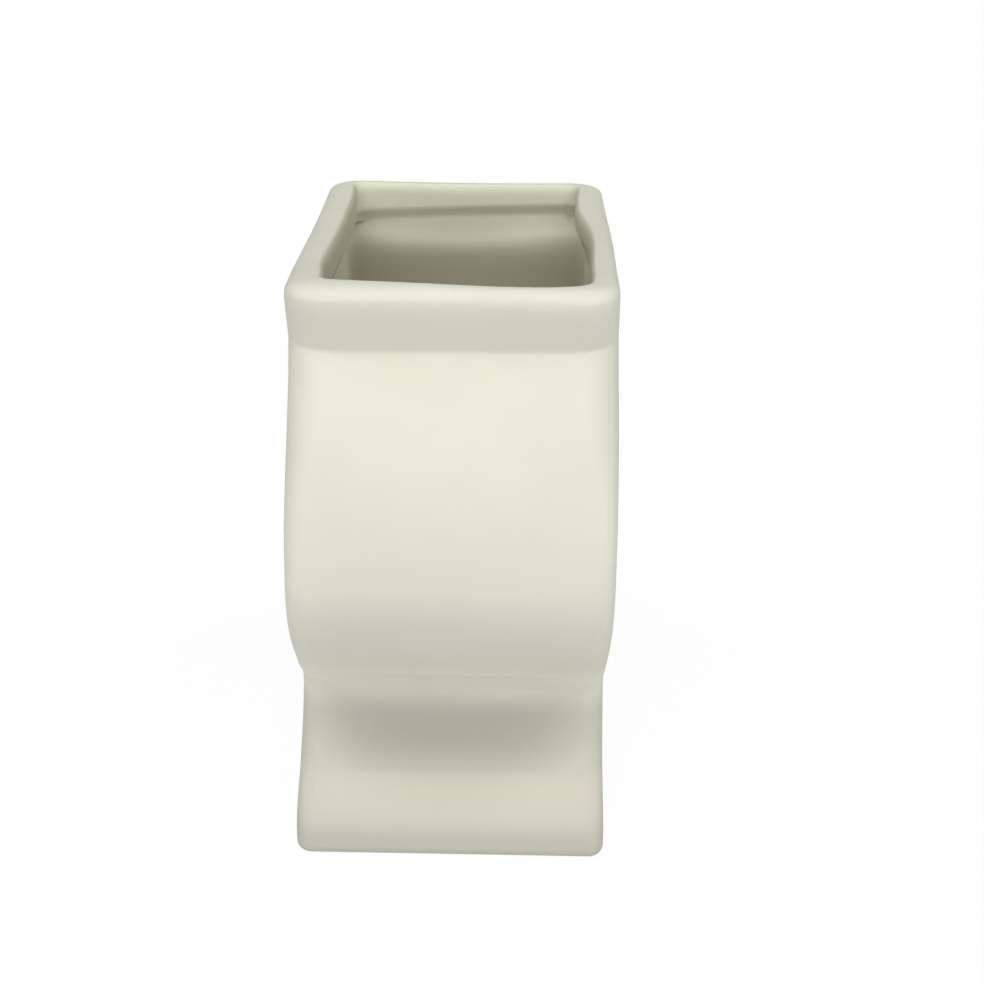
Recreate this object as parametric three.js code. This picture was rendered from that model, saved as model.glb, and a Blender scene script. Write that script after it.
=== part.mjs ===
// Flat-sided pedestal vase in matte ivory ceramic: two urn-shaped faces with bent walls between them,
// a thick-lipped mouth collar on top and a floor in the foot, luted together and fired as one vessel.
// Millimetres, +Z up, origin at the middle of the base. The mouth is long along Y, the faces stand across X.
import * as THREE from 'three';

// Overall sizes
const HEIGHT = 200;
const WIDTH = 105;

// Front-to-back lengths of the urn silhouette, from the rim down
const RIM_LENGTH = 177;
const NECK_LENGTH = 170;
const BELLY_LENGTH = 208.4;
const WAIST_LENGTH = 118.8;
const INSTEP_LENGTH = 142.4;
const FOOT_LENGTH = 173;

// Heights of the silhouette: the collar hangs from the rim and the shoulder from the neck,
// and the rest stands above the base
const COLLAR_HEIGHT = 21.2;
const SHOULDER_DROP = 11.8;
const BELLY_HEIGHT = 106;
const WAIST_HEIGHT = 49;
const INSTEP_HEIGHT = 24.3;
const FOOT_EDGE_STRAIGHT = 2.5;

// Directions of the silhouette where its curves meet, in degrees above the horizontal
const FOOT_TOP_SLOPE = 27;
const FLARE_SLOPE = 56;
const UNDERSIDE_SLOPE = 38;
const SHOULDER_SLOPE = 61;
const LIP_SLOPE = 75;

// How far each curve holds its start and end direction, as shares of its own chord
const FOOT_FULLNESS = [0.25, 0.6];
const FLARE_FULLNESS = [0.4, 0.32];
const WAIST_FULLNESS = [0.33, 0.33];
const UNDERSIDE_FULLNESS = [0.38, 0.36];
const SHOULDER_FULLNESS = [0.34, 0.42];
const LIP_FULLNESS = [0.66, 0.2];

// Wall thicknesses
const WALL = 5;
const FACE_WALL = 6;
const LIP_WALL = 8.5;
const FLOOR = 7;

// Mouth band: the thick top of the collar, with an undercut ledge below it
const LIP_BAND_HEIGHT = 10;
const MOUTH_EDGE_RADIUS = 1.6;

// The lip's roll over its top edge, which is deeper at the front and rear than along the faces
const LIP_ROLL_WIDTH = 6.5;
const LIP_ROLL_HEIGHT = 6;
const SIDE_ROLL_WIDTH = 5;
const SIDE_ROLL_HEIGHT = 3.2;
const LIP_LAND = 0.5;

// Radii of the upright corners, which open out at the waist and again above the belly towards the shoulder
const EDGE_RADIUS = 5;
const WAIST_CORNER_RADIUS = 10;
const SHOULDER_CORNER_RADIUS = 14;
const NECK_CORNER_RADIUS = 13;
const LIP_CORNER_RADIUS = 12;
const CORNER_OPENING_HEIGHT = 125;

// Other roundings
const EDGE_LAND = 0.5;
const BASE_RADIUS = 5;
const WAIST_ROUNDING = 8;
const MOUTH_CORNER_RADIUS = 6;
const INNER_CORNER_RADIUS = 4;

// Width of the seat that the foot walls give to the floor's ends
const FLOOR_SEAT = 4;

// Facets in each curve
const CORNER_STEPS = 8;
const WALL_END_STEPS = 4;
const ROLL_STEPS = 8;
const FOOT_STEPS = 10;
const FLARE_STEPS = 8;
const WAIST_STEPS = 4;
const UNDERSIDE_STEPS = 12;
const SHOULDER_STEPS = 14;
const LIP_STEPS = 8;

// Sizes that follow from those above
const neckHeight = HEIGHT - COLLAR_HEIGHT;
const shoulderHeight = neckHeight - SHOULDER_DROP;
const lipTop = HEIGHT - LIP_ROLL_HEIGHT;
const ledgeHeight = HEIGHT - LIP_BAND_HEIGHT;
const footEdgeTop = BASE_RADIUS + FOOT_EDGE_STRAIGHT;
const faceOutside = WIDTH / 2;
const faceInside = faceOutside - FACE_WALL;
const edgeRadius = Math.min(EDGE_RADIUS, FACE_WALL - EDGE_LAND);
const rollLimit = LIP_WALL - MOUTH_EDGE_RADIUS - LIP_LAND;
const lipRollWidth = Math.min(LIP_ROLL_WIDTH, rollLimit);
const sideRollWidth = Math.min(SIDE_ROLL_WIDTH, rollLimit);
const neckInside = NECK_LENGTH / 2 - WALL;
const floorHalfLength = FOOT_LENGTH / 2 - WALL - FLOOR_SEAT;

const degrees = (angle) => THREE.MathUtils.degToRad(angle);
const point = (halfLength, height) => new THREE.Vector2(halfLength, height);

// A curve between two points of the silhouette that leaves and arrives in the given directions
function bend(start, startAngle, end, endAngle, fullness) {
  const chord = start.distanceTo(end);
  const handle = (angle, share) =>
    point(Math.cos(degrees(angle)), Math.sin(degrees(angle))).multiplyScalar(share * chord);
  const leave = start.clone().add(handle(startAngle, fullness[0]));
  const arrive = end.clone().sub(handle(endAngle, fullness[1]));
  return new THREE.CubicBezierCurve(start, leave, arrive, end);
}

// The half silhouette behind the middle of the vase, from the foot's edge up to the lip
const footEdge = point(FOOT_LENGTH / 2, footEdgeTop);
const instep = point(INSTEP_LENGTH / 2, INSTEP_HEIGHT);
const waist = point(WAIST_LENGTH / 2, WAIST_HEIGHT);
const waistEnd = waist.clone().addScalar(WAIST_ROUNDING);
const belly = point(BELLY_LENGTH / 2, BELLY_HEIGHT);
const neck = point(NECK_LENGTH / 2, neckHeight);
const lip = point(RIM_LENGTH / 2, lipTop);

const footTop = bend(footEdge, 90, instep, 180 - FOOT_TOP_SLOPE, FOOT_FULLNESS);
const flare = bend(instep, 180 - FLARE_SLOPE, waist, 90, FLARE_FULLNESS);
const waistCurve = bend(waist, 90, waistEnd, UNDERSIDE_SLOPE, WAIST_FULLNESS);
const underside = bend(waistEnd, UNDERSIDE_SLOPE, belly, 90, UNDERSIDE_FULLNESS);
const shoulder = bend(belly, 90, neck, 180 - SHOULDER_SLOPE, SHOULDER_FULLNESS);
const lipCurve = bend(neck, LIP_SLOPE, lip, 90, LIP_FULLNESS);

const footCurves = [[footTop, FOOT_STEPS], [flare, FLARE_STEPS]];
const bellyCurves = [[waistCurve, WAIST_STEPS], [underside, UNDERSIDE_STEPS], [shoulder, SHOULDER_STEPS]];
const collarCurves = [[lipCurve, LIP_STEPS]];

// Points along joined curves, each set in from the outside by a wall towards the middle of the vase
function along(curves, wall = 0) {
  return curves.flatMap(([curve, steps], index) => {
    const points = [];
    const continues = wall === 0 && index > 0;
    for (let step = continues ? 1 : 0; step <= steps; step += 1) {
      const tangent = curve.getTangent(step / steps);
      const inward = point(-tangent.y, tangent.x).multiplyScalar(wall);
      points.push(curve.getPoint(step / steps).add(inward));
    }
    return points;
  });
}

// Where a line of points that climbs from low to high passes a height
function crossing(points, height) {
  const above = points.findIndex((candidate) => candidate.y > height);
  const [low, high] = [points[above - 1], points[above]];
  return low.clone().lerp(high, (height - low.y) / (high.y - low.y));
}

// The part of such a line above a height, starting on it
const trimmedBelow = (points, height) => [crossing(points, height), ...points.filter((p) => p.y > height)];

// The rounded edge where the foot meets the ground
function baseCorner() {
  const centre = point(FOOT_LENGTH / 2 - BASE_RADIUS, BASE_RADIUS);
  return Array.from({ length: CORNER_STEPS + 1 }, (_, step) => {
    const angle = degrees(-90 + (90 * step) / CORNER_STEPS);
    return point(Math.cos(angle), Math.sin(angle)).multiplyScalar(BASE_RADIUS).add(centre);
  });
}

// A skin through matching loops of points, either joined end to end or closed by flat ends
function loft(loops, { endToEnd, flat }) {
  const count = loops[0].length;
  const positions = loops.flat().flatMap((vertex) => vertex.toArray());
  const faces = [];
  const bands = endToEnd ? loops.length : loops.length - 1;
  for (let band = 0; band < bands; band += 1) {
    const here = band * count;
    const there = ((band + 1) % loops.length) * count;
    for (let side = 0; side < count; side += 1) {
      const next = (side + 1) % count;
      faces.push(here + side, here + next, there + next, here + side, there + next, there + side);
    }
  }
  if (!endToEnd) {
    const last = (loops.length - 1) * count;
    const capOf = (loop) => THREE.ShapeUtils.triangulateShape(loop.map(flat), []);
    capOf(loops[0]).forEach(([a, b, c]) => faces.push(a, c, b));
    capOf(loops.at(-1)).forEach(([a, b, c]) => faces.push(last + a, last + b, last + c));
  }
  const geometry = new THREE.BufferGeometry();
  geometry.setAttribute('position', new THREE.Float32BufferAttribute(positions, 3));
  geometry.setIndex(faces);
  geometry.computeVertexNormals();
  return geometry;
}

// Heights of the body at which the radius of its upright corners is set
const corners = [
  [footEdgeTop, edgeRadius],
  [WAIST_HEIGHT, WAIST_CORNER_RADIUS],
  [BELLY_HEIGHT, edgeRadius],
  [CORNER_OPENING_HEIGHT, edgeRadius],
  [shoulderHeight, SHOULDER_CORNER_RADIUS],
  [neckHeight, NECK_CORNER_RADIUS],
];

// Radius of the upright corners at a height of the body, even between those heights
function cornerRadius(height) {
  const above = corners.findIndex(([level]) => level >= height);
  if (above < 1) return corners.at(above)[1];
  const [[low, lowRadius], [high, highRadius]] = [corners[above - 1], corners[above]];
  return THREE.MathUtils.lerp(lowRadius, highRadius, (height - low) / (high - low));
}

// A place on the outside of the body, drawn in where the upright corner rounds it off
function onCorner(x, p) {
  const radius = cornerRadius(p.y);
  const reach = THREE.MathUtils.clamp(Math.abs(x) - (faceOutside - radius), 0, radius);
  const inset = radius - Math.sqrt(radius ** 2 - reach ** 2);
  return new THREE.Vector3(x, p.x - inset, p.y);
}

// A wall between the two faces: its outside rounds off towards them and its inside runs straight across
function wallAcross(outside, inside) {
  const roundedFrom = faceOutside - SHOULDER_CORNER_RADIUS;
  const half = Array.from({ length: WALL_END_STEPS + 1 }, (_, step) =>
    THREE.MathUtils.lerp(roundedFrom, faceInside, step / WALL_END_STEPS));
  const places = [...half.map((x) => -x).reverse(), ...half];
  const loops = places.map((x) => [
    ...outside.map((p) => onCorner(x, p)),
    ...inside.map((p) => new THREE.Vector3(x, p.x, p.y)),
  ]);
  return loft(loops, { endToEnd: false, flat: (p) => point(p.y, p.z) });
}

// Belly wall: from the waist round the belly to the neck, the same thickness all the way
function bellyWall() {
  const outside = along(bellyCurves);
  const inside = [...along(bellyCurves, WALL), point(neckInside, neckHeight)];
  return wallAcross(outside, inside.reverse());
}

// Foot wall: a spreading foot with a rounded ground edge and a seat for the floor inside
function footWall() {
  const outside = [...baseCorner(), ...along(footCurves)];
  const upright = point(FOOT_LENGTH / 2 - WALL, 0);
  const inside = trimmedBelow([upright, ...along(footCurves, WALL)], FLOOR);
  const seat = [point(floorHalfLength, FLOOR), point(floorHalfLength, 0)];
  return wallAcross(outside, [...inside.reverse(), ...seat]);
}

// One flat face: the whole urn silhouette below the collar, its outer edge rounded all round
function face() {
  const half = [...baseCorner(), ...along([...footCurves, ...bellyCurves])];
  const roundedBase = faceOutside - BASE_RADIUS;
  const outline = (x) => {
    const reach = THREE.MathUtils.clamp(x - roundedBase, 0, BASE_RADIUS);
    const lift = BASE_RADIUS - Math.sqrt(BASE_RADIUS ** 2 - reach ** 2);
    const rear = half.map((p) => onCorner(x, p)).map((p) => p.setZ(Math.max(p.z, lift)));
    const front = rear.map((p) => new THREE.Vector3(x, -p.y, p.z));
    return [...rear, ...front.reverse()];
  };
  const loops = Array.from({ length: CORNER_STEPS + 1 }, (_, step) =>
    outline(faceInside + FACE_WALL * Math.sin(degrees((90 * step) / CORNER_STEPS))));
  return loft(loops, { endToEnd: false, flat: (p) => point(p.y, p.z) });
}

// A level rounded rectangle, drawn anticlockwise as seen from above
function roundedRing(halfWidth, halfLength, radius, height) {
  const corners = [[1, 1], [-1, 1], [-1, -1], [1, -1]];
  return corners.flatMap(([sideX, sideY], quarter) =>
    Array.from({ length: CORNER_STEPS + 1 }, (_, step) => {
      const angle = degrees(90 * (quarter + step / CORNER_STEPS));
      const x = sideX * (halfWidth - radius) + radius * Math.cos(angle);
      const y = sideY * (halfLength - radius) + radius * Math.sin(angle);
      return new THREE.Vector3(x, y, height);
    }));
}

// Mouth collar: a flared lip rolled over at the top, with a thick band inside and a ledge cut under it
function collar() {
  const outer = along(collarCurves).map((p) => {
    const climb = (p.y - neckHeight) / (lipTop - neckHeight);
    const radius = THREE.MathUtils.lerp(NECK_CORNER_RADIUS, LIP_CORNER_RADIUS, climb);
    return roundedRing(faceOutside, p.x, radius, p.y);
  });
  const roll = (step) => degrees((90 * step) / ROLL_STEPS);
  const rolled = [];
  for (let step = 1; step <= ROLL_STEPS; step += 1) {
    const inset = lipRollWidth * (1 - Math.cos(roll(step)));
    const height = lipTop + LIP_ROLL_HEIGHT * Math.sin(roll(step));
    const climb = Math.max(height - HEIGHT + SIDE_ROLL_HEIGHT, 0) / SIDE_ROLL_HEIGHT;
    const sideInset = sideRollWidth * (1 - Math.sqrt(Math.max(1 - climb ** 2, 0)));
    const radius = LIP_CORNER_RADIUS - sideInset;
    rolled.push(roundedRing(faceOutside - sideInset, RIM_LENGTH / 2 - inset, radius, height));
  }
  const mouthWidth = faceOutside - LIP_WALL;
  const mouthLength = RIM_LENGTH / 2 - LIP_WALL;
  const mouth = [];
  for (let step = 0; step <= ROLL_STEPS; step += 1) {
    const spread = MOUTH_EDGE_RADIUS * (1 - Math.sin(roll(step)));
    const height = HEIGHT - MOUTH_EDGE_RADIUS * (1 - Math.cos(roll(step)));
    mouth.push(roundedRing(mouthWidth + spread, mouthLength + spread, MOUTH_CORNER_RADIUS + spread, height));
  }
  mouth.push(roundedRing(mouthWidth, mouthLength, MOUTH_CORNER_RADIUS, ledgeHeight));
  const inside = [point(neckInside, neckHeight), ...along(collarCurves, WALL)];
  const underLedge = [...inside.filter((p) => p.y < ledgeHeight), crossing(inside, ledgeHeight)];
  const inner = underLedge.reverse().map((p) => roundedRing(faceInside, p.x, INNER_CORNER_RADIUS, p.y));
  return loft([...outer, ...rolled, ...mouth, ...inner], { endToEnd: true });
}

// Floor: a slab held between the two faces and the seats of the foot walls
function floor() {
  const geometry = new THREE.BoxGeometry(2 * faceInside, 2 * floorHalfLength, FLOOR);
  return geometry.translate(0, 0, FLOOR / 2);
}

// Matte unglazed ivory body
function ceramic() {
  return new THREE.MeshStandardMaterial({ color: 0xe6e5d8, roughness: 0.8, metalness: 0 });
}

function piece(name, geometry) {
  const mesh = new THREE.Mesh(geometry, ceramic());
  mesh.name = name;
  return mesh;
}

// The opposite piece of a pair: the same piece turned half round the upright axis
function facing(name, geometry) {
  const mesh = piece(name, geometry);
  mesh.rotation.z = Math.PI;
  return mesh;
}

const vase = new THREE.Group();
vase.add(
  piece('rim_collar', collar()),
  piece('right_face', face()),
  facing('left_face', face()),
  piece('rear_belly_wall', bellyWall()),
  facing('front_belly_wall', bellyWall()),
  piece('rear_foot_wall', footWall()),
  facing('front_foot_wall', footWall()),
  piece('base_floor', floor()),
);

export default vase;
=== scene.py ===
"""Looks of a flat-sided pedestal vase in matte ivory ceramic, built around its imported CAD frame."""
import math

import bmesh
import bpy
import numpy as np
from mathutils import Matrix, Vector


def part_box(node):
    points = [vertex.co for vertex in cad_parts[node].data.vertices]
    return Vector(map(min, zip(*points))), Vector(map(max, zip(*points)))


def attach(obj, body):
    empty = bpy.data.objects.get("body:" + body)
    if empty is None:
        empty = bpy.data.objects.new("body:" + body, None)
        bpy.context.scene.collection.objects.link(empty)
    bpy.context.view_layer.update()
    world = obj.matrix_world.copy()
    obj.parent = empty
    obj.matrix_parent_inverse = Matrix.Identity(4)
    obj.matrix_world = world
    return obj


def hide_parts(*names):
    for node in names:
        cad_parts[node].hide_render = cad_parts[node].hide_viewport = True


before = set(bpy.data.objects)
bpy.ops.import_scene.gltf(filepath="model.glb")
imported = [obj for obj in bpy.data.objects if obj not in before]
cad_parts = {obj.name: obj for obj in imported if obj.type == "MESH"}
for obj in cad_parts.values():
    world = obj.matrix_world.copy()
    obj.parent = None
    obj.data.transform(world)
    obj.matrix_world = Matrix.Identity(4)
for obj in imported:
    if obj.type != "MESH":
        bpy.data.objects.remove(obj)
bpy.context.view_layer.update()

MM = 0.001

# Sizes that the frame gives, in metres
collar_low, collar_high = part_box("rim_collar")
face_low, face_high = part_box("right_face")
belly_low, belly_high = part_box("rear_belly_wall")
foot_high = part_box("rear_foot_wall")[1]
floor_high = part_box("base_floor")[1]
HEIGHT = collar_high.z
NECK_HEIGHT = collar_low.z
WAIST_HEIGHT = belly_low.z
FACE_OUTSIDE = face_high.x
FACE_INSIDE = face_low.x
RIM_HALF = collar_high.y
BELLY_HALF = belly_high.y
FOOT_HALF = foot_high.y
FLOOR_HALF = floor_high.y
FLOOR_TOP = floor_high.z

# The wall, and half-lengths, heights and roundings of the silhouette that no box shows
WALL = 5 * MM
NECK_HALF = 83 * MM
WAIST_HALF = belly_low.y + WALL
INSTEP_HALF = 71.2 * MM
INSTEP_HEIGHT = 25 * MM
BELLY_HEIGHT = 106 * MM
FOOT_EDGE_TOP = 7.5 * MM
WAIST_ROUNDING = 14 * MM
BASE_RADIUS = 3.8 * MM

# Directions of the silhouette where its curves meet, in degrees above the horizontal
FOOT_TOP_SLOPE = 44
FLARE_SLOPE = 52
UNDERSIDE_SLOPE = 44
SHOULDER_SLOPE = 61
LIP_SLOPE = 69

# How far each curve holds its first and last direction, as shares of its chord
FOOT_FULLNESS = (0.34, 0.42)
FLARE_FULLNESS = (0.4, 0.32)
WAIST_FULLNESS = (0.33, 0.33)
UNDERSIDE_FULLNESS = (0.38, 0.36)
SHOULDER_FULLNESS = (0.34, 0.42)
LIP_FULLNESS = (0.66, 0.2)

# How far the creases and the turns of the inside are eased
NECK_SOFTNESS = 0.8 * MM
INSTEP_SOFTNESS = 0.8 * MM
INSIDE_SOFTNESS = 8 * MM

# Upright corners, which open out at the waist and again from the belly to the shoulder
EDGE_RADIUS = 5 * MM
WAIST_RADIUS = 10 * MM
OPENING_HEIGHT = 125 * MM
SHOULDER_HEIGHT = 167 * MM
SHOULDER_RADIUS = 14 * MM
NECK_RADIUS = 13 * MM
LIP_CORNER_RADIUS = 12 * MM
INNER_COVE_RADIUS = 4 * MM

# How much larger a face's corner is than the corner of the wall beside it
SEAM_STEP = 0.3 * MM

# The lip's wall, its roll over the top at the ends and along the faces, and the mouth's rounded edge
LIP_WALL = 8.5 * MM
LIP_ROLL_WIDTH = 6.5 * MM
LIP_ROLL_HEIGHT = 5 * MM
SIDE_ROLL_WIDTH = 5 * MM
SIDE_ROLL_HEIGHT = 3.2 * MM
MOUTH_CORNER_RADIUS = 6 * MM
MOUTH_EDGE_WIDTH = 1.9 * MM
MOUTH_EDGE_DROP = 4.2 * MM

# The ledge where the mouth's band ends, and the thicker neck below it
LEDGE_HEIGHT = HEIGHT - 12.8 * MM
LEDGE_REACH = 5.5 * MM
LEDGE_DEPTH = 1.9 * MM
LEDGE_TILT = 0.035
LEDGE_SAG = 1.4 * MM
NECK_THICKENING = 1.2 * MM
NECK_THICKENING_REACH = 14 * MM

# Handwork: how far the body wanders, the height up to which that fades in, and the belly's bow to the right
UNEVENNESS = 0.18 * MM
UNEVENNESS_FADE = 30 * MM
BOW = 0.3 * MM
BOW_HEIGHT = 135 * MM
BOW_SPAN = 170 * MM

# How the neck sags, leans and rises towards its corners
NECK_SAG = 0.8 * MM
NECK_TILT = 0.011
NECK_RISE = 2.2 * MM
NECK_RISE_POWER = 6
NECK_RISE_REACH = 10 * MM

# A low place in the front of the lip, its place in millimetres
LIP_DIP_PLACE = (14, -80)
LIP_DIP_REACH = 45 * MM
LIP_DIP = 0.8 * MM

# Where the mouth's edge strays from a true rectangle: place, reach and bump in millimetres
MOUTH_BUMPS = [
    ((-44, 10), 95, 2.7),
    ((44, 36), 24, 1.6),
    ((45, -16), 30, -1.8),
    ((-24, -80), 20, 0.9),
    ((20, -80), 24, -1.6),
    ((0, 80), 45, 3),
    ((-44, -76), 13, 2.9),
    ((44, -80), 10, 1.8),
]

# How sharply the way in turns from one side of the mouth to the next
MOUTH_TURN_POWER = 7

# Steps along each curve of the silhouette
FOOT_STEPS = 30
FLARE_STEPS = 34
WAIST_STEPS = 14
UNDERSIDE_STEPS = 56
SHOULDER_STEPS = 72
LIP_STEPS = 36

# Steps round each rounding, and across and along each section
BASE_STEPS = 8
CORNER_STEPS = 10
COVE_STEPS = 6
ROLL_STEPS = 18
MOUTH_EDGE_STEPS = 8
LEDGE_STEPS = 14
ACROSS_STEPS = 36
ALONG_STEPS = 28
FLOOR_STEPS = 24

# Number of heights at which the inside is worked out
INSIDE_LEVELS = 400

# Share of a ring's straight end that its points may take up, and the angle below which faces look smooth
STRAIGHT_SHARE = 0.98
SMOOTH_ANGLE = 40

# Tones of the clay: the body and its clouds, painted light on the waist's crease, painted shade on the flare
# and painted shadow in its hollow, the foot's warmer tone with painted shade, painted shade darkening the
# foot's edge towards the ground, the inside and painted shade in its depth
IVORY = (0.70, 0.682, 0.588)
PALE_IVORY = (0.73, 0.71, 0.618)
WAIST_CREASE_PAINTED_LIGHT = (0.81, 0.788, 0.68)
FLARE_PAINTED_SHADE = (0.575, 0.56, 0.483)
FOOT_TONE_AND_SHADE = (0.6, 0.566, 0.492)
FOOT_EDGE_PAINTED_SHADE = (0.53, 0.503, 0.438)
HOLLOW_PAINTED_SHADOW = (0.48, 0.444, 0.387)
INSIDE_IVORY = (0.70, 0.69, 0.55)
DEEP_PAINTED_SHADE = (0.66, 0.617, 0.492)

# Heights at which each tone starts and is full
WAIST_FROM_BELOW = (50.2 * MM, 55.5 * MM)
WAIST_FROM_ABOVE = (70 * MM, 57 * MM)
FLARE_FROM_ABOVE = (50 * MM, 42 * MM)
FOOT_FROM_ABOVE = (25.5 * MM, 23.5 * MM)
FOOT_EDGE_SHADE_FROM_ABOVE = (21 * MM, 11 * MM)
HOLLOW_FROM_ABOVE = (49 * MM, 33 * MM)
HOLLOW_FROM_BELOW = (23.5 * MM, 25.5 * MM)
DEEP_FROM_ABOVE = (180 * MM, 163 * MM)

# The hollow's painted shadow, a lens: its half-width, and the heights of its bottom and top
HOLLOW_HALF_WIDTH = 50 * MM
HOLLOW_ENDS = (21.5 * MM, 58.5 * MM)

# How far the vase's axis lies behind a surface where the inside's tone starts and is full
INSIDE_FROM_AXIS = (-10 * MM, -30 * MM)

# Noise of the clay as scale per metre, detail and roughness, the range of it that is used, and what it gives
CLOUDS = (22, 3, 0.55)
CLOUD_RANGE = (0.35, 0.65)
SHEEN = (160, 4, 0.6)
SHEEN_RANGE = (0.3, 0.7)
SHEEN_ROUGHNESS = (0.62, 0.8)
GRAIN = (1500, 3, 0.6)
GRAIN_STRENGTH = 0.25
GRAIN_DEPTH = 0.15 * MM
SPECULAR_LEVEL = 0.32

# Camera at the photograph's place, in metres and degrees, with its lens in millimetres
CAMERA_PLACE = Vector((0.01901, -0.66606, 0.34407))
CAMERA_DOWN = 19.981
CAMERA_TURN = -0.595
CAMERA_ROLL = 0.711
CAMERA_LENS = 70.93
CAMERA_SENSOR = 36

# Cool white of the lights
LIGHT_COLOUR = (0.97, 1, 0.975)

# Even light from above and from the white sweep below, and how soft the horizon between them is
SKY_LIGHT = 0.03
SWEEP_LIGHT = 0.765
HORIZON_SOFTNESS = 0.02

# Soft lights: degrees to the right of the front, degrees up, strength and softness in degrees
LIGHTS = {
    "front_fill": (0, 24.5, 1.13, 44),
    "key_left": (-25, 58, 0.63, 30),
    "key_right": (25, 58, 0.32, 30),
    "side_left": (-68, 55, 0.85, 40),
    "side_right": (68, 52, 1.1, 40),
}

# How far the white sweep reaches to each side, in metres
SWEEP_REACH = 12


def polar(angle):
    """A unit step in the silhouette's plane, as half-length and height."""
    return np.array([math.cos(math.radians(angle)), math.sin(math.radians(angle))])


def bend(start, start_angle, end, end_angle, fullness, steps):
    """A curve that leaves and arrives in the given directions, with closer points at its ends."""
    start, end = np.array(start), np.array(end)
    chord = np.linalg.norm(end - start)
    leave = start + polar(start_angle) * fullness[0] * chord
    arrive = end - polar(end_angle) * fullness[1] * chord
    t = 0.5 - 0.5 * np.cos(np.linspace(0, math.pi, steps + 1))[:, None]
    return (1 - t) ** 3 * start + 3 * (1 - t) ** 2 * t * leave + 3 * (1 - t) * t**2 * arrive + t**3 * end


def quarter(steps):
    """Angles of a quarter turn."""
    return np.linspace(0, math.pi / 2, steps + 1)


def soften(points, index, reach):
    """Rounds the crease at one point of a line, over a reach to either side of it."""
    steps = np.linalg.norm(np.diff(points, axis=0), axis=1)
    place = np.concatenate([[0], np.cumsum(steps)])
    place -= place[index]
    ends = [[np.interp(at, place, points[:, axis]) for axis in (0, 1)] for at in (-reach, reach)]
    before, after = np.array(ends)
    crease = points[index]
    near = np.abs(place) < reach
    t = ((place[near] + reach) / (2 * reach))[:, None]
    softened = points.copy()
    softened[near] = (1 - t) ** 2 * before + 2 * t * (1 - t) * crease + t**2 * after
    return softened


def silhouette():
    """The outside of the half silhouette from the ground to the lip, and where its waist and neck come."""
    turn = quarter(BASE_STEPS)
    base = np.column_stack([
        FOOT_HALF - BASE_RADIUS * (1 - np.sin(turn)),
        BASE_RADIUS * (1 - np.cos(turn)),
    ])
    foot = (FOOT_HALF, FOOT_EDGE_TOP)
    instep = (INSTEP_HALF, INSTEP_HEIGHT)
    waist = (WAIST_HALF, WAIST_HEIGHT)
    waist_end = (WAIST_HALF + WAIST_ROUNDING, WAIST_HEIGHT + WAIST_ROUNDING)
    belly = (BELLY_HALF, BELLY_HEIGHT)
    neck = (NECK_HALF, NECK_HEIGHT)
    lip = (RIM_HALF, HEIGHT - LIP_ROLL_HEIGHT)
    curves = [
        bend(foot, 90, instep, 180 - FOOT_TOP_SLOPE, FOOT_FULLNESS, FOOT_STEPS),
        bend(instep, 180 - FLARE_SLOPE, waist, 90, FLARE_FULLNESS, FLARE_STEPS),
        bend(waist, 90, waist_end, UNDERSIDE_SLOPE, WAIST_FULLNESS, WAIST_STEPS),
        bend(waist_end, UNDERSIDE_SLOPE, belly, 90, UNDERSIDE_FULLNESS, UNDERSIDE_STEPS),
        bend(belly, 90, neck, 180 - SHOULDER_SLOPE, SHOULDER_FULLNESS, SHOULDER_STEPS),
        bend(neck, LIP_SLOPE, lip, 90, LIP_FULLNESS, LIP_STEPS),
    ]
    points = np.vstack([base, curves[0]] + [curve[1:] for curve in curves[1:]])
    lengths = np.cumsum([len(base) + len(curves[0])] + [len(curve) - 1 for curve in curves[1:]]) - 1
    instep_at, waist_at, neck_at = lengths[0], lengths[1], lengths[4]
    points = soften(points, instep_at, INSTEP_SOFTNESS)
    points = soften(points, neck_at, NECK_SOFTNESS)
    return points, waist_at, neck_at


def inside_of(points):
    """The inner half-length at each of the outside's heights, with a thicker neck and eased turns."""
    along = np.gradient(points, axis=0)
    along /= np.linalg.norm(along, axis=1)[:, None]
    from_neck = (points[:, 1] - NECK_HEIGHT) / NECK_THICKENING_REACH
    thickness = WALL + NECK_THICKENING * np.exp(-(from_neck**2))
    inner = points + thickness[:, None] * np.column_stack([-along[:, 1], along[:, 0]])
    order = np.argsort(inner[:, 1])
    heights = np.linspace(0, points[-1, 1], INSIDE_LEVELS)
    half_lengths = np.interp(heights, inner[order, 1], inner[order, 0])
    apart = (heights[:, None] - heights) / INSIDE_SOFTNESS
    weights = np.exp(-(apart**2))
    eased = weights @ half_lengths / weights.sum(axis=1)
    return np.interp(points[:, 1], heights, eased)


OUTSIDE, WAIST_AT, NECK_AT = silhouette()
INSIDE = np.column_stack([inside_of(OUTSIDE), OUTSIDE[:, 1]])


def hand_finish(points):
    """The slight unevenness of a hand-finished body, in long waves that fade out towards the ground."""
    x, y, z = points.T
    wander = np.column_stack([
        np.sin(31 * z + 1.3) * np.cos(23 * y) + 0.6 * np.sin(67 * z + 40 * y + 0.4),
        np.sin(37 * x + 0.7) * np.cos(29 * z + 0.5) + 0.6 * np.cos(71 * z - 33 * x),
        np.sin(35 * x - 1.1) * np.sin(27 * y + 0.9) + 0.5 * np.sin(58 * x + 49 * y),
    ])
    wander *= UNEVENNESS
    wander[:, 0] += BOW * np.cos(2 * math.pi * (z - BOW_HEIGHT) / BOW_SPAN)
    near_neck = np.exp(-(((z - NECK_HEIGHT) / NECK_RISE_REACH) ** 2))
    rise = NECK_RISE * (x / FACE_OUTSIDE) ** NECK_RISE_POWER
    wander[:, 2] += near_neck * (rise - NECK_SAG + NECK_TILT * x)
    fade = np.clip(z / UNEVENNESS_FADE, 0, 1)[:, None]
    return points + fade * wander


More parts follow.
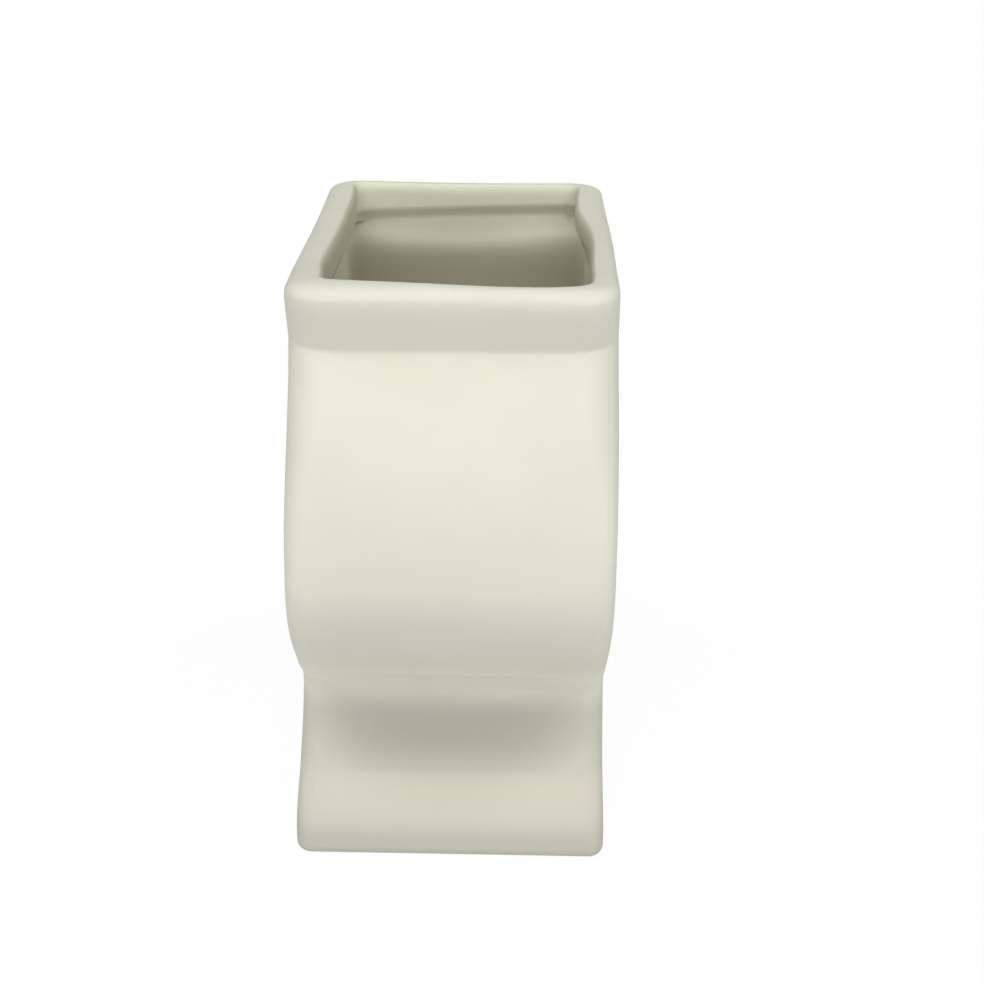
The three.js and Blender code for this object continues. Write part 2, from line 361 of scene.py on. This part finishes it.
def lofted(name, loops, endless=False):
    """A closed piece skinned over matching loops of points, with flat ends or joined end to end."""
    loops = np.asarray(loops)
    rows, count = loops.shape[:2]
    index = np.arange(rows * count).reshape(rows, count)
    upper = np.roll(index, -1, axis=0)
    here = index if endless else index[:-1]
    there = upper if endless else upper[:-1]
    quads = np.stack([here, np.roll(here, -1, 1), np.roll(there, -1, 1), there], axis=-1)
    faces = quads.reshape(-1, 4).tolist()
    if not endless:
        faces += [index[0][::-1].tolist(), index[-1].tolist()]
    return smooth_piece(name, hand_finish(loops.reshape(-1, 3)), faces)


def smooth_piece(name, vertices, faces):
    """A piece with its faces turned outwards and shaded smooth."""
    mesh = bpy.data.meshes.new(name)
    mesh.from_pydata(vertices.tolist(), [], faces)
    work = bmesh.new()
    work.from_mesh(mesh)
    bmesh.ops.recalc_face_normals(work, faces=work.faces)
    work.to_mesh(mesh)
    work.free()
    mesh.shade_smooth()
    mesh.set_sharp_from_angle(angle=math.radians(SMOOTH_ANGLE))
    piece = bpy.data.objects.new(name, mesh)
    bpy.context.scene.collection.objects.link(piece)
    return piece


def ring(half_width, half_length, radius, height):
    """A level rounded rectangle, anticlockwise from above, whose front and rear runs stop at the faces."""
    seam = min(FACE_INSIDE, STRAIGHT_SHARE * (half_width - radius))
    across = np.linspace(-seam, seam, ACROSS_STEPS + 1)
    along = np.linspace(radius - half_length, half_length - radius, ALONG_STEPS + 1)[1:-1]
    turn = quarter(CORNER_STEPS)
    corner = np.column_stack([
        half_width - radius * (1 - np.sin(turn)),
        -half_length + radius * (1 - np.cos(turn)),
    ])
    front = np.column_stack([across, np.full_like(across, -half_length)])
    side = np.column_stack([np.full_like(along, half_width), along])
    half = np.vstack([front, corner, side, (corner * [1, -1])[::-1]])
    return levelled(np.vstack([half, -half]), height)


def levelled(loop, height):
    """A flat loop at a height."""
    return np.column_stack([loop, np.full(len(loop), height)])


def corner_radius(height):
    """Radius of the upright corners, which open out at the waist and again from the belly to the shoulder."""
    corners = {
        FOOT_EDGE_TOP: EDGE_RADIUS,
        WAIST_HEIGHT: WAIST_RADIUS,
        BELLY_HEIGHT: EDGE_RADIUS,
        OPENING_HEIGHT: EDGE_RADIUS,
        SHOULDER_HEIGHT: SHOULDER_RADIUS,
        NECK_HEIGHT: NECK_RADIUS,
        HEIGHT - LIP_ROLL_HEIGHT: LIP_CORNER_RADIUS,
    }
    return np.interp(height, list(corners), list(corners.values()))


def drawn_in(x, outside, radius):
    """How far a rounded corner draws the ends in at a place across."""
    reach = np.clip(np.abs(x) - (outside - radius), 0, radius)
    return radius - np.sqrt(radius**2 - reach**2)


def rounded_in(height):
    """How far the base's rounded edge draws the faces in at a height."""
    drop = max(BASE_RADIUS - height, 0)
    return BASE_RADIUS - math.sqrt(BASE_RADIUS**2 - drop**2)


def face_loop(half_length, height):
    """One level of the right face: round its outside from the front, then straight back along its inside."""
    outside = FACE_OUTSIDE - rounded_in(height)
    radius = corner_radius(height) - rounded_in(height) + SEAM_STEP
    start = math.asin(np.clip(1 - (outside - FACE_INSIDE - SEAM_STEP) / radius, 0, 1))
    turn = np.linspace(start, math.pi / 2, CORNER_STEPS + 1)
    places = np.concatenate([[FACE_INSIDE], outside - radius * (1 - np.sin(turn))])
    corner = np.column_stack([places, drawn_in(places, outside, radius) - half_length])
    along = np.linspace(radius - half_length, half_length - radius, ALONG_STEPS + 1)[1:-1]
    side = np.column_stack([np.full_like(along, outside), along])
    back = np.linspace(-corner[0, 1], corner[0, 1], ALONG_STEPS + 1)[1:-1]
    inside = np.column_stack([np.full_like(back, FACE_INSIDE), back])
    return levelled(np.vstack([corner, side, (corner * [1, -1])[::-1], inside]), height)


def face(name, side):
    """A flat urn-shaped face from the ground to the neck; side is 1 on the right and -1 on the left."""
    loops = np.array([face_loop(*level) for level in OUTSIDE[: NECK_AT + 1]])
    return lofted(name, loops * [side, 1, 1])


def wall(name, outer, inner, end):
    """A wall bent between the faces, its inside coved into them; end is 1 at the rear and -1 at the front."""
    section = np.vstack([outer, inner])
    is_inner = (np.arange(len(section)) >= len(outer)) & (section[:, 1] > FLOOR_TOP)
    loops = []
    for x in wall_places():
        reach = max(abs(x) - (FACE_INSIDE - INNER_COVE_RADIUS), 0)
        cove = INNER_COVE_RADIUS - math.sqrt(max(INNER_COVE_RADIUS**2 - reach**2, 0))
        corner = drawn_in(x, FACE_OUTSIDE, corner_radius(section[:, 1]))
        half_length = section[:, 0] - np.where(is_inner, cove, corner)
        loops.append(np.column_stack([np.full(len(section), x), end * half_length, section[:, 1]]))
    return lofted(name, loops)


def wall_places():
    """Places across a wall, with more of them in the coves beside the faces."""
    even = np.linspace(-FACE_INSIDE, FACE_INSIDE, ACROSS_STEPS + 1)
    cove = FACE_INSIDE - INNER_COVE_RADIUS * (1 - np.sin(quarter(COVE_STEPS)))
    return np.unique(np.round(np.concatenate([even, cove, -cove]), 7))


def belly_wall(name, end):
    """The wall from the waist round the belly to the neck."""
    levels = slice(WAIST_AT, NECK_AT + 1)
    return wall(name, OUTSIDE[levels], INSIDE[levels][::-1], end)


def foot_wall(name, end):
    """The spreading foot, with a seat inside for the floor."""
    outer = OUTSIDE[: WAIST_AT + 1]
    above = INSIDE[: WAIST_AT + 1]
    above = above[above[:, 1] > FLOOR_TOP][::-1]
    floor_edge = (above[-1, 0], FLOOR_TOP)
    seat = [floor_edge, (FLOOR_HALF, FLOOR_TOP), (FLOOR_HALF, 0)]
    return wall(name, outer, np.vstack([above, seat]), end)


def collar(name):
    """The flared lip, rolled over at the top, with the thick band inside the mouth and the ledge under it."""
    outer = []
    for half_length, height in OUTSIDE[NECK_AT:]:
        outer.append(ring(FACE_OUTSIDE, half_length, corner_radius(height), height))
    outer += [roll_ring(turn) for turn in quarter(ROLL_STEPS)[1:]]
    return lofted(name, outer + mouth_band() + neck_inside(), endless=True)


def roll_ring(turn):
    """One level of the lip's roll, which is larger at the front and rear than along the faces."""
    height = HEIGHT - LIP_ROLL_HEIGHT * (1 - math.sin(turn))
    along = LIP_ROLL_WIDTH * (1 - math.cos(turn))
    climb = max(height - HEIGHT + SIDE_ROLL_HEIGHT, 0) / SIDE_ROLL_HEIGHT
    across = SIDE_ROLL_WIDTH * (1 - math.sqrt(max(1 - climb**2, 0)))
    level = ring(FACE_OUTSIDE - across, RIM_HALF - along, LIP_CORNER_RADIUS - across, height)
    return trimmed(level, along / LIP_ROLL_WIDTH)


def mouth_ring(spread, height):
    """One level of the mouth's band, spread outwards from its narrowest."""
    half_width = FACE_OUTSIDE - LIP_WALL + spread
    half_length = RIM_HALF - LIP_WALL + spread
    return trimmed(ring(half_width, half_length, MOUTH_CORNER_RADIUS + spread, height))


def mouth_band():
    """The band's rounded top edge, its upright inside and the soft ledge where it ends below."""
    rings = []
    for turn in quarter(MOUTH_EDGE_STEPS):
        spread = MOUTH_EDGE_WIDTH * (1 - math.sin(turn))
        rings.append(mouth_ring(spread, HEIGHT - MOUTH_EDGE_DROP * (1 - math.cos(turn))))
    for share in np.linspace(0, 1, LEDGE_STEPS + 1)[:-1]:
        spread = LEDGE_DEPTH * (0.5 - 0.5 * math.cos(math.pi * share))
        rings.append(tilted(mouth_ring(spread, LEDGE_HEIGHT + LEDGE_REACH * (1 - share))))
    return rings


def neck_inside():
    """The neck's inside from the ledge down to the belly."""
    levels = INSIDE[NECK_AT:]
    lowest = LEDGE_HEIGHT - LEDGE_SAG - LEDGE_TILT * FACE_OUTSIDE
    below = levels[levels[:, 1] < lowest][::-1]
    rings = [neck_ring(half_length, height) for half_length, height in below]
    return [tilted(neck_ring(RIM_HALF - LIP_WALL + LEDGE_DEPTH, LEDGE_HEIGHT)), *rings]


def neck_ring(half_length, height):
    """One level of the neck's inside, which follows the trimmed mouth more closely towards the ledge."""
    climb = (height - NECK_HEIGHT) / (LEDGE_HEIGHT - NECK_HEIGHT)
    share = climb**2 * (3 - 2 * climb)
    half_width = FACE_INSIDE + share * (FACE_OUTSIDE - LIP_WALL + LEDGE_DEPTH - FACE_INSIDE)
    half_length += share * (RIM_HALF - LIP_WALL + LEDGE_DEPTH - half_length)
    radius = INNER_COVE_RADIUS + share * (MOUTH_CORNER_RADIUS - INNER_COVE_RADIUS)
    return trimmed(ring(half_width, half_length, radius, height), share)


def tilted(points):
    """The ledge's level, which sags towards both sides and sits a little lower on the left."""
    x = points[:, 0]
    moved = points.copy()
    moved[:, 2] += LEDGE_TILT * x - LEDGE_SAG * (x / FACE_OUTSIDE) ** 2
    return moved


def nearness(points, place, reach):
    """One at a level place in millimetres, fading away over a reach."""
    distance = np.linalg.norm(points[:, :2] - np.array(place) * MM, axis=1)
    return np.exp(-((distance / reach) ** 2))


def trimmed(points, share=1):
    """The mouth's hand-trimmed edge: each bump draws it in towards the middle, or lets it out if negative."""
    x, y = points[:, 0], points[:, 1]
    inward = -np.column_stack([x / FACE_OUTSIDE, y / RIM_HALF]) ** MOUTH_TURN_POWER
    inward /= np.linalg.norm(inward, axis=1)[:, None] + 1e-9
    amount = np.zeros(len(points))
    for place, reach, bump in MOUTH_BUMPS:
        amount += bump * MM * nearness(points, place, reach * MM)
    moved = points.copy()
    moved[:, :2] += inward * share * amount[:, None]
    moved[:, 2] -= share * LIP_DIP * nearness(points, LIP_DIP_PLACE, LIP_DIP_REACH)
    return moved


def floor_slab(name):
    """The floor between the faces and the foot walls' seats."""
    even = np.linspace(-1, 1, FLOOR_STEPS + 1)
    across = even * FACE_INSIDE
    along = even[1:-1] * FLOOR_HALF
    front = np.column_stack([across, np.full_like(across, -FLOOR_HALF)])
    side = np.column_stack([np.full_like(along, FACE_INSIDE), along])
    half = np.vstack([front, side])
    loop = np.vstack([half, -half])
    return lofted(name, [levelled(loop, height) for height in (0, FLOOR_TOP / 2, FLOOR_TOP)])


def node(tree, kind, **values):
    """A shader node with its settings."""
    made = tree.nodes.new(kind)
    for key, value in values.items():
        setattr(made, key, value)
    return made


def noise(tree, coordinates, scale, detail, roughness):
    """A noise texture in the object's own space, with its scale per metre."""
    texture = node(tree, "ShaderNodeTexNoise")
    texture.inputs["Scale"].default_value = scale
    texture.inputs["Detail"].default_value = detail
    texture.inputs["Roughness"].default_value = roughness
    tree.links.new(coordinates, texture.inputs["Vector"])
    return texture.outputs["Fac"]


def blended(tree, factor, first, second):
    """A mix of two colours, each given as a colour or a socket."""
    mix = node(tree, "ShaderNodeMix", data_type="RGBA")
    tree.links.new(factor, mix.inputs["Factor"])
    for name, value in (("A", first), ("B", second)):
        socket = next(s for s in mix.inputs if s.name == name and s.type == "RGBA")
        if isinstance(value, tuple):
            socket.default_value = (*value, 1)
        else:
            tree.links.new(value, socket)
    return next(s for s in mix.outputs if s.type == "RGBA")


def mapped(tree, value, source, target=(0, 1)):
    """A value stretched from one range to another and held there."""
    stretch = node(tree, "ShaderNodeMapRange")
    for name, number in zip(("From Min", "From Max", "To Min", "To Max"), (*source, *target)):
        stretch.inputs[name].default_value = number
    tree.links.new(value, stretch.inputs["Value"])
    return stretch.outputs["Result"]


def product(tree, values):
    """Several values multiplied together."""
    result = values[0]
    for value in values[1:]:
        times = node(tree, "ShaderNodeMath", operation="MULTIPLY")
        tree.links.new(result, times.inputs[0])
        tree.links.new(value, times.inputs[1])
        result = times.outputs[0]
    return result


def hollow(tree, across, up):
    """Painted shadow of the belly: strongest in the middle of the hollow above the foot, and fading to the
    waist and the corners.
    """
    wide = mapped(tree, across, (-HOLLOW_HALF_WIDTH, HOLLOW_HALF_WIDTH), (-1, 1))
    tall = mapped(tree, up, HOLLOW_ENDS, (-1, 1))
    distance = node(tree, "ShaderNodeMath", operation="ADD")
    tree.links.new(product(tree, [wide] * 4), distance.inputs[0])
    tree.links.new(product(tree, [tall] * 2), distance.inputs[1])
    lens = mapped(tree, distance.outputs[0], (1, 0))
    return product(tree, [lens, mapped(tree, up, HOLLOW_FROM_ABOVE), mapped(tree, up, HOLLOW_FROM_BELOW)])


def facing_inwards(tree, place):
    """One on the surfaces that face the middle of the vase, and nothing on those that face away."""
    facing = node(tree, "ShaderNodeTexCoord").outputs["Normal"]
    level = node(tree, "ShaderNodeVectorMath", operation="MULTIPLY")
    level.inputs[1].default_value = (1, 1, 0)
    tree.links.new(place, level.inputs[0])
    outward = node(tree, "ShaderNodeVectorMath", operation="DOT_PRODUCT")
    tree.links.new(facing, outward.inputs[0])
    tree.links.new(level.outputs["Vector"], outward.inputs[1])
    return mapped(tree, outward.outputs["Value"], INSIDE_FROM_AXIS)


def clay_tone(tree, place):
    """The clay's cloudy ivory, with each tone laid over the last: painted light and shade, and the foot's and
    the inside's tones.
    """
    split = node(tree, "ShaderNodeSeparateXYZ")
    tree.links.new(place, split.inputs["Vector"])
    across, up = split.outputs["X"], split.outputs["Z"]
    # Mask of the painted light in the waist's crease
    waist = product(tree, [mapped(tree, up, WAIST_FROM_BELOW), mapped(tree, up, WAIST_FROM_ABOVE)])
    inside = facing_inwards(tree, place)
    tones = [
        # painted light that lifts the shade in the waist's crease
        (waist, WAIST_CREASE_PAINTED_LIGHT),
        # painted shade of the belly's overhang on the flare
        (mapped(tree, up, FLARE_FROM_ABOVE), FLARE_PAINTED_SHADE),
        # the foot's warmer tone, darkened by painted shade
        (mapped(tree, up, FOOT_FROM_ABOVE), FOOT_TONE_AND_SHADE),
        # painted shade darkening the foot towards the ground
        (mapped(tree, up, FOOT_EDGE_SHADE_FROM_ABOVE), FOOT_EDGE_PAINTED_SHADE),
        # painted shadow of the belly in the hollow above the foot
        (hollow(tree, across, up), HOLLOW_PAINTED_SHADOW),
        (inside, INSIDE_IVORY),
        # painted shade deeper inside the vase
        (product(tree, [inside, mapped(tree, up, DEEP_FROM_ABOVE)]), DEEP_PAINTED_SHADE),
    ]
    clouds = mapped(tree, noise(tree, place, *CLOUDS), CLOUD_RANGE)
    tone = blended(tree, clouds, IVORY, PALE_IVORY)
    for share, colour in tones:
        tone = blended(tree, share, tone, colour)
    return tone


def matte_ceramic():
    """Unglazed ivory body: cloudy tone, a warmer foot, painted shade low down and in the recesses, painted
    light in the waist's crease, a fine sandy grain and an uneven sheen.
    """
    material = bpy.data.materials.new("matte_ceramic")
    material.use_nodes = True
    tree = material.node_tree
    tree.nodes.clear()
    output = node(tree, "ShaderNodeOutputMaterial")
    shader = node(tree, "ShaderNodeBsdfPrincipled")
    shader.inputs["Specular IOR Level"].default_value = SPECULAR_LEVEL
    tree.links.new(shader.outputs["BSDF"], output.inputs["Surface"])
    place = node(tree, "ShaderNodeTexCoord").outputs["Object"]
    tree.links.new(clay_tone(tree, place), shader.inputs["Base Color"])
    sheen = mapped(tree, noise(tree, place, *SHEEN), SHEEN_RANGE, SHEEN_ROUGHNESS)
    tree.links.new(sheen, shader.inputs["Roughness"])
    bump = node(tree, "ShaderNodeBump")
    bump.inputs["Strength"].default_value = GRAIN_STRENGTH
    bump.inputs["Distance"].default_value = GRAIN_DEPTH
    tree.links.new(noise(tree, place, *GRAIN), bump.inputs["Height"])
    tree.links.new(bump.outputs["Normal"], shader.inputs["Normal"])
    return material


def dress():
    """Builds each piece in the place of its CAD node and gives it the ceramic."""
    material = matte_ceramic()
    pieces = {
        "rim_collar": collar("rim_collar_fired"),
        "right_face": face("right_face_fired", 1),
        "left_face": face("left_face_fired", -1),
        "rear_belly_wall": belly_wall("rear_belly_wall_fired", 1),
        "front_belly_wall": belly_wall("front_belly_wall_fired", -1),
        "rear_foot_wall": foot_wall("rear_foot_wall_fired", 1),
        "front_foot_wall": foot_wall("front_foot_wall_fired", -1),
        "base_floor": floor_slab("base_floor_fired"),
    }
    for cad_node, piece in pieces.items():
        piece.data.materials.append(material)
        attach(piece, "root")
        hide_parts(cad_node)


def camera():
    """The photograph's view of the narrow front end, from a little above the rim."""
    down, turn, roll = (math.radians(a) for a in (CAMERA_DOWN, CAMERA_TURN, CAMERA_ROLL))
    ahead = Vector((math.sin(turn) * math.cos(down), math.cos(turn) * math.cos(down), -math.sin(down)))
    level = Vector((math.cos(turn), -math.sin(turn), 0))
    above = level.cross(ahead)
    right = math.cos(roll) * level + math.sin(roll) * above
    up = math.cos(roll) * above - math.sin(roll) * level
    made = bpy.data.objects.new("photo_camera", bpy.data.cameras.new("photo_camera"))
    made.data.lens = CAMERA_LENS
    made.data.sensor_width = CAMERA_SENSOR
    turned = Matrix((right, up, -ahead)).transposed().to_4x4()
    made.matrix_world = Matrix.Translation(CAMERA_PLACE) @ turned
    bpy.context.scene.collection.objects.link(made)
    bpy.context.scene.camera = made


def soft_light(name, side, height, strength, softness):
    """A soft light without fall-off, from a side and a height in degrees."""
    lamp = bpy.data.objects.new(name, bpy.data.lights.new(name, "SUN"))
    lamp.data.energy = strength
    lamp.data.color = LIGHT_COLOUR
    lamp.data.angle = math.radians(softness)
    side, height = math.radians(side), math.radians(height)
    level = math.cos(height)
    towards = Vector((math.sin(side) * level, -math.cos(side) * level, math.sin(height)))
    lamp.rotation_euler = towards.to_track_quat("Z", "Y").to_euler()
    bpy.context.scene.collection.objects.link(lamp)


def surround():
    """Even white light, dim from above and brighter from the sweep below."""
    world = bpy.data.worlds.new("studio")
    bpy.context.scene.world = world
    world.use_nodes = True
    tree = world.node_tree
    direction = node(tree, "ShaderNodeTexCoord").outputs["Generated"]
    split = node(tree, "ShaderNodeSeparateXYZ")
    tree.links.new(direction, split.inputs["Vector"])
    horizon = (-HORIZON_SOFTNESS, HORIZON_SOFTNESS)
    strength = mapped(tree, split.outputs["Z"], horizon, (SWEEP_LIGHT, SKY_LIGHT))
    background = tree.nodes["Background"]
    background.inputs["Color"].default_value = (*LIGHT_COLOUR, 1)
    tree.links.new(strength, background.inputs["Strength"])


def sweep_white():
    """White that glows, so that only a faint shadow shows on it."""
    material = bpy.data.materials.new("sweep_white")
    material.use_nodes = True
    shader = material.node_tree.nodes["Principled BSDF"]
    shader.inputs["Base Color"].default_value = (0.06, 0.06, 0.06, 1)
    shader.inputs["Roughness"].default_value = 0.9
    shader.inputs["Specular IOR Level"].default_value = 0.1
    shader.inputs["Emission Color"].default_value = (1, 1, 1, 1)
    shader.inputs["Emission Strength"].default_value = 0.94
    return material


def staged(name, corners, faces, material):
    """A piece of the white sweep, which lets the studio's light through."""
    mesh = bpy.data.meshes.new(name)
    mesh.from_pydata(corners, [], faces)
    mesh.materials.append(material)
    made = bpy.data.objects.new(name, mesh)
    made.visible_diffuse = False
    made.visible_shadow = False
    bpy.context.scene.collection.objects.link(made)
    return made


def sweep():
    """A pale floor, and pale walls far off that only close the view."""
    low = [(SWEEP_REACH * x, SWEEP_REACH * y, 0) for x, y in ((-1, -1), (1, -1), (1, 1), (-1, 1))]
    high = [(x, y, 2 * SWEEP_REACH) for x, y, _ in low]
    material = sweep_white()
    staged("floor", low, [(0, 1, 2, 3)], material)
    sides = [(0, 1, 5, 4), (1, 2, 6, 5), (2, 3, 7, 6), (3, 0, 4, 7)]
    walls = staged("walls", low + high, sides, material)
    walls.visible_glossy = False


def studio():
    """A pale sweep, soft lights high in front and an even fill."""
    surround()
    sweep()
    for name, setting in LIGHTS.items():
        soft_light(name, *setting)
    bpy.context.scene.view_settings.view_transform = "Standard"


camera()
dress()
studio()
